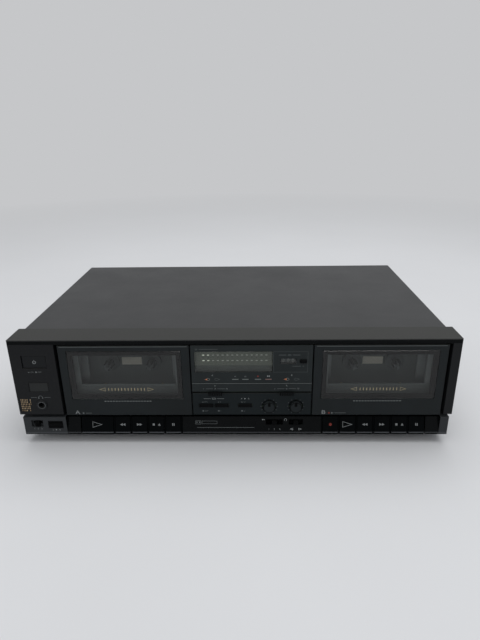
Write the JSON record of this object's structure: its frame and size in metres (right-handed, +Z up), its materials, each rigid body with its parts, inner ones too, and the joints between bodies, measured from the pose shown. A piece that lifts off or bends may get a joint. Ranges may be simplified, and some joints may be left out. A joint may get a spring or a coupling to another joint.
{
  "type": "cassette duplicator",
  "caption": "Full-width twin cassette deck with two drop-forward wells, piano keys, level meter, tape counter and rotary controls in a steel case.",
  "frame": {"origin": "middle of the floor under the feet", "axes": "+X to the right seen from the front, +Y from the front to the back, +Z up"},
  "size_m": [0.43, 0.2704, 0.1143],
  "materials": {
    "cover_steel": "satin black paint, fine grain",
    "chassis_steel": "zinc-plated and black-painted sheet",
    "frame_plastic": "fine moulded grain",
    "door_plastic": "fine moulded grain",
    "gloss_plastic": "polished",
    "smoked_acrylic": "polished smoke acrylic",
    "holder_plastic": "light grey moulded",
    "button_plastic": "satin",
    "drum_plastic": "satin",
    "bright_steel": "zinc plated",
    "brass_wheel": "turned",
    "black_screws": "black oxide",
    "foot_rubber": "matt",
    "socket_plastic": "satin",
    "board_laminate": "solder-resist laminate"
  },
  "bodies": {
    "chassis": {"bottom_chassis": "chassis_steel", "top_cover": "cover_steel", "rear_panel": "chassis_steel", "rear_sockets": "socket_plastic", "feet": "foot_rubber", "case_screws": "black_screws", "front_frame": "frame_plastic", "phone_jack": "socket_plastic", "lower_trim": "frame_plastic", "key_shafts": "bright_steel", "meter_panel": "frame_plastic", "meter_window": "smoked_acrylic", "control_panel": "frame_plastic", "tape_transports": "bright_steel", "circuit_boards": "board_laminate"},
    "door_assembly_a": {"door_a": "door_plastic", "door_window_a": "smoked_acrylic", "cassette_holder_a": "holder_plastic"},
    "door_assembly_b": {"door_b": "door_plastic", "door_window_b": "smoked_acrylic", "cassette_holder_b": "holder_plastic"},
    "key_play_a": {"key_play_a": "gloss_plastic"},
    "key_rewind_a": {"key_rewind_a": "gloss_plastic"},
    "key_forward_a": {"key_forward_a": "gloss_plastic"},
    "key_stop_a": {"key_stop_a": "gloss_plastic"},
    "key_pause_a": {"key_pause_a": "gloss_plastic"},
    "key_pause_b": {"key_pause_b": "gloss_plastic"},
    "key_stop_b": {"key_stop_b": "gloss_plastic"},
    "key_forward_b": {"key_forward_b": "gloss_plastic"},
    "key_rewind_b": {"key_rewind_b": "gloss_plastic"},
    "key_play_b": {"key_play_b": "gloss_plastic"},
    "key_record_b": {"key_record_b": "gloss_plastic"},
    "head_carriage_a": {"head_carriage_a": "bright_steel"},
    "head_carriage_b": {"head_carriage_b": "bright_steel"},
    "power_button": {"power_button": "button_plastic"},
    "noise_button": {"noise_button": "button_plastic"},
    "noise_type_button": {"noise_type_button": "button_plastic"},
    "speed_button": {"speed_button": "button_plastic"},
    "dub_button": {"dub_button": "button_plastic"},
    "counter_reset": {"counter_reset": "button_plastic"},
    "timer_slider": {"timer_slider": "button_plastic"},
    "mode_slider": {"mode_slider": "button_plastic"},
    "direction_slider": {"direction_slider": "button_plastic"},
    "tape_select_a": {"tape_select_a": "button_plastic"},
    "tape_select_b": {"tape_select_b": "button_plastic"},
    "balance_knob": {"balance_knob": "button_plastic"},
    "level_knob": {"level_knob": "button_plastic"},
    "spindle_left_a": {"spindle_left_a": "drum_plastic"},
    "spindle_right_a": {"spindle_right_a": "drum_plastic"},
    "capstan_left_a": {"capstan_left_a": "brass_wheel"},
    "capstan_right_a": {"capstan_right_a": "brass_wheel"},
    "motor_pulley_a": {"motor_pulley_a": "brass_wheel"},
    "spindle_left_b": {"spindle_left_b": "drum_plastic"},
    "spindle_right_b": {"spindle_right_b": "drum_plastic"},
    "capstan_left_b": {"capstan_left_b": "brass_wheel"},
    "capstan_right_b": {"capstan_right_b": "brass_wheel"},
    "motor_pulley_b": {"motor_pulley_b": "brass_wheel"},
    "counter_units": {"counter_units": "drum_plastic"},
    "counter_tens": {"counter_tens": "drum_plastic"},
    "counter_hundreds": {"counter_hundreds": "drum_plastic"}
  },
  "joints": [
    {"name": "door_a_hinge", "type": "hinge", "parent": "chassis", "child": "door_assembly_a", "pos_m": [-0.1046, -0.1253, 0.035], "axis": [1, 0, 0], "range_deg": [0, 30]},
    {"name": "door_b_hinge", "type": "hinge", "parent": "chassis", "child": "door_assembly_b", "pos_m": [0.1405, -0.1253, 0.035], "axis": [1, 0, 0], "range_deg": [0, 30]},
    {"name": "key_play_a_press", "type": "hinge", "parent": "chassis", "child": "key_play_a", "pos_m": [-0.13865, -0.1068, 0.022], "axis": [1, 0, 0], "range_deg": [0, 7]},
    {"name": "key_rewind_a_press", "type": "hinge", "parent": "chassis", "child": "key_rewind_a", "pos_m": [-0.11292, -0.1068, 0.022], "axis": [1, 0, 0], "range_deg": [0, 7], "stiffness_Nm_per_rad": 0.6},
    {"name": "key_forward_a_press", "type": "hinge", "parent": "chassis", "child": "key_forward_a", "pos_m": [-0.09577, -0.1068, 0.022], "axis": [1, 0, 0], "range_deg": [0, 7], "stiffness_Nm_per_rad": 0.6},
    {"name": "key_stop_a_press", "type": "hinge", "parent": "chassis", "child": "key_stop_a", "pos_m": [-0.07863, -0.1068, 0.022], "axis": [1, 0, 0], "range_deg": [0, 7], "stiffness_Nm_per_rad": 0.6},
    {"name": "key_pause_a_press", "type": "hinge", "parent": "chassis", "child": "key_pause_a", "pos_m": [-0.06148, -0.1068, 0.022], "axis": [1, 0, 0], "range_deg": [0, 7], "stiffness_Nm_per_rad": 0.6},
    {"name": "key_pause_b_press", "type": "hinge", "parent": "chassis", "child": "key_pause_b", "pos_m": [0.18243, -0.1068, 0.022], "axis": [1, 0, 0], "range_deg": [0, 7], "stiffness_Nm_per_rad": 0.6},
    {"name": "key_stop_b_press", "type": "hinge", "parent": "chassis", "child": "key_stop_b", "pos_m": [0.16528, -0.1068, 0.022], "axis": [1, 0, 0], "range_deg": [0, 7], "stiffness_Nm_per_rad": 0.6},
    {"name": "key_forward_b_press", "type": "hinge", "parent": "chassis", "child": "key_forward_b", "pos_m": [0.14813, -0.1068, 0.022], "axis": [1, 0, 0], "range_deg": [0, 7], "stiffness_Nm_per_rad": 0.6},
    {"name": "key_rewind_b_press", "type": "hinge", "parent": "chassis", "child": "key_rewind_b", "pos_m": [0.13098, -0.1068, 0.022], "axis": [1, 0, 0], "range_deg": [0, 7], "stiffness_Nm_per_rad": 0.6},
    {"name": "key_play_b_press", "type": "hinge", "parent": "chassis", "child": "key_play_b", "pos_m": [0.11382, -0.1068, 0.022], "axis": [1, 0, 0], "range_deg": [0, 7]},
    {"name": "key_record_b_press", "type": "hinge", "parent": "chassis", "child": "key_record_b", "pos_m": [0.09667, -0.1068, 0.022], "axis": [1, 0, 0], "range_deg": [0, 7], "stiffness_Nm_per_rad": 0.6},
    {"name": "head_carriage_a_slide", "type": "slide", "parent": "chassis", "child": "head_carriage_a", "axis": [0, 0, 1], "range_m": [0, 0.006], "stiffness_N_per_m": 250},
    {"name": "head_carriage_b_slide", "type": "slide", "parent": "chassis", "child": "head_carriage_b", "axis": [0, 0, 1], "range_m": [0, 0.006], "stiffness_N_per_m": 250},
    {"name": "power_button_slide", "type": "slide", "parent": "chassis", "child": "power_button", "axis": [0, 1, 0], "range_m": [0, 0.003], "stiffness_N_per_m": 400},
    {"name": "noise_button_slide", "type": "slide", "parent": "chassis", "child": "noise_button", "axis": [0, 1, 0], "range_m": [0, 0.003], "stiffness_N_per_m": 300},
    {"name": "noise_type_button_slide", "type": "slide", "parent": "chassis", "child": "noise_type_button", "axis": [0, 1, 0], "range_m": [0, 0.003], "stiffness_N_per_m": 300},
    {"name": "speed_button_slide", "type": "slide", "parent": "chassis", "child": "speed_button", "axis": [0, 1, 0], "range_m": [0, 0.003], "stiffness_N_per_m": 300},
    {"name": "dub_button_slide", "type": "slide", "parent": "chassis", "child": "dub_button", "axis": [0, 1, 0], "range_m": [0, 0.0016], "stiffness_N_per_m": 400},
    {"name": "counter_reset_slide", "type": "slide", "parent": "chassis", "child": "counter_reset", "axis": [0, 1, 0], "range_m": [0, 0.0015], "stiffness_N_per_m": 300},
    {"name": "timer_slider_slide", "type": "slide", "parent": "chassis", "child": "timer_slider", "axis": [1, 0, 0], "range_m": [-0.003, 0.003]},
    {"name": "mode_slider_slide", "type": "slide", "parent": "chassis", "child": "mode_slider", "axis": [1, 0, 0], "range_m": [-0.0055, 0.0055]},
    {"name": "direction_slider_slide", "type": "slide", "parent": "chassis", "child": "direction_slider", "axis": [1, 0, 0], "range_m": [-0.004, 0.004]},
    {"name": "tape_select_a_slide", "type": "slide", "parent": "chassis", "child": "tape_select_a", "axis": [1, 0, 0], "range_m": [-0.005, 0.005]},
    {"name": "tape_select_b_slide", "type": "slide", "parent": "chassis", "child": "tape_select_b", "axis": [1, 0, 0], "range_m": [-0.005, 0.005]},
    {"name": "balance_knob_turn", "type": "hinge", "parent": "chassis", "child": "balance_knob", "pos_m": [0.03505, -0.1328, 0.0422], "axis": [0, 1, 0], "range_deg": [-140, 140]},
    {"name": "level_knob_turn", "type": "hinge", "parent": "chassis", "child": "level_knob", "pos_m": [0.06125, -0.1328, 0.0422], "axis": [0, 1, 0], "range_deg": [-150, 150]},
    {"name": "spindle_left_a_turn", "type": "hinge", "parent": "chassis", "child": "spindle_left_a", "pos_m": [-0.12585, -0.1048, 0.078], "axis": [0, 1, 0], "continuous": true},
    {"name": "spindle_right_a_turn", "type": "hinge", "parent": "chassis", "child": "spindle_right_a", "pos_m": [-0.08335, -0.1048, 0.078], "axis": [0, 1, 0], "continuous": true},
    {"name": "capstan_left_a_turn", "type": "hinge", "parent": "chassis", "child": "capstan_left_a", "pos_m": [-0.1346, -0.0728, 0.051], "axis": [0, 1, 0], "continuous": true},
    {"name": "capstan_right_a_turn", "type": "hinge", "parent": "chassis", "child": "capstan_right_a", "pos_m": [-0.0746, -0.0728, 0.051], "axis": [0, 1, 0], "continuous": true},
    {"name": "motor_pulley_a_turn", "type": "hinge", "parent": "chassis", "child": "motor_pulley_a", "pos_m": [-0.1046, -0.0728, 0.09], "axis": [0, 1, 0], "continuous": true},
    {"name": "spindle_left_b_turn", "type": "hinge", "parent": "chassis", "child": "spindle_left_b", "pos_m": [0.11925, -0.1048, 0.078], "axis": [0, 1, 0], "continuous": true},
    {"name": "spindle_right_b_turn", "type": "hinge", "parent": "chassis", "child": "spindle_right_b", "pos_m": [0.16175, -0.1048, 0.078], "axis": [0, 1, 0], "continuous": true},
    {"name": "capstan_left_b_turn", "type": "hinge", "parent": "chassis", "child": "capstan_left_b", "pos_m": [0.1105, -0.0728, 0.051], "axis": [0, 1, 0], "continuous": true},
    {"name": "capstan_right_b_turn", "type": "hinge", "parent": "chassis", "child": "capstan_right_b", "pos_m": [0.1705, -0.0728, 0.051], "axis": [0, 1, 0], "continuous": true},
    {"name": "motor_pulley_b_turn", "type": "hinge", "parent": "chassis", "child": "motor_pulley_b", "pos_m": [0.1405, -0.0728, 0.09], "axis": [0, 1, 0], "continuous": true},
    {"name": "counter_units_turn", "type": "hinge", "parent": "chassis", "child": "counter_units", "pos_m": [0.05755, -0.1243, 0.09135], "axis": [1, 0, 0], "continuous": true},
    {"name": "counter_tens_turn", "type": "hinge", "parent": "chassis", "child": "counter_tens", "pos_m": [0.05305, -0.1243, 0.09135], "axis": [1, 0, 0], "continuous": true},
    {"name": "counter_hundreds_turn", "type": "hinge", "parent": "chassis", "child": "counter_hundreds", "pos_m": [0.04855, -0.1243, 0.09135], "axis": [1, 0, 0], "continuous": true}
  ],
  "couplings": [
    {"joint": "key_play_a_press", "follows": "head_carriage_a_slide", "rad_per_m": 20.36},
    {"joint": "key_play_b_press", "follows": "head_carriage_b_slide", "rad_per_m": 20.36},
    {"joint": "capstan_right_a_turn", "follows": "capstan_left_a_turn", "ratio": -1},
    {"joint": "motor_pulley_a_turn", "follows": "capstan_left_a_turn", "ratio": 5.4762},
    {"joint": "capstan_right_b_turn", "follows": "capstan_left_b_turn", "ratio": -1},
    {"joint": "motor_pulley_b_turn", "follows": "capstan_left_b_turn", "ratio": 5.4762},
    {"joint": "counter_units_turn", "follows": "spindle_right_b_turn", "ratio": -0.05},
    {"joint": "counter_tens_turn", "follows": "spindle_right_b_turn", "ratio": -0.005},
    {"joint": "counter_hundreds_turn", "follows": "spindle_right_b_turn", "ratio": -0.0005}
  ]
}
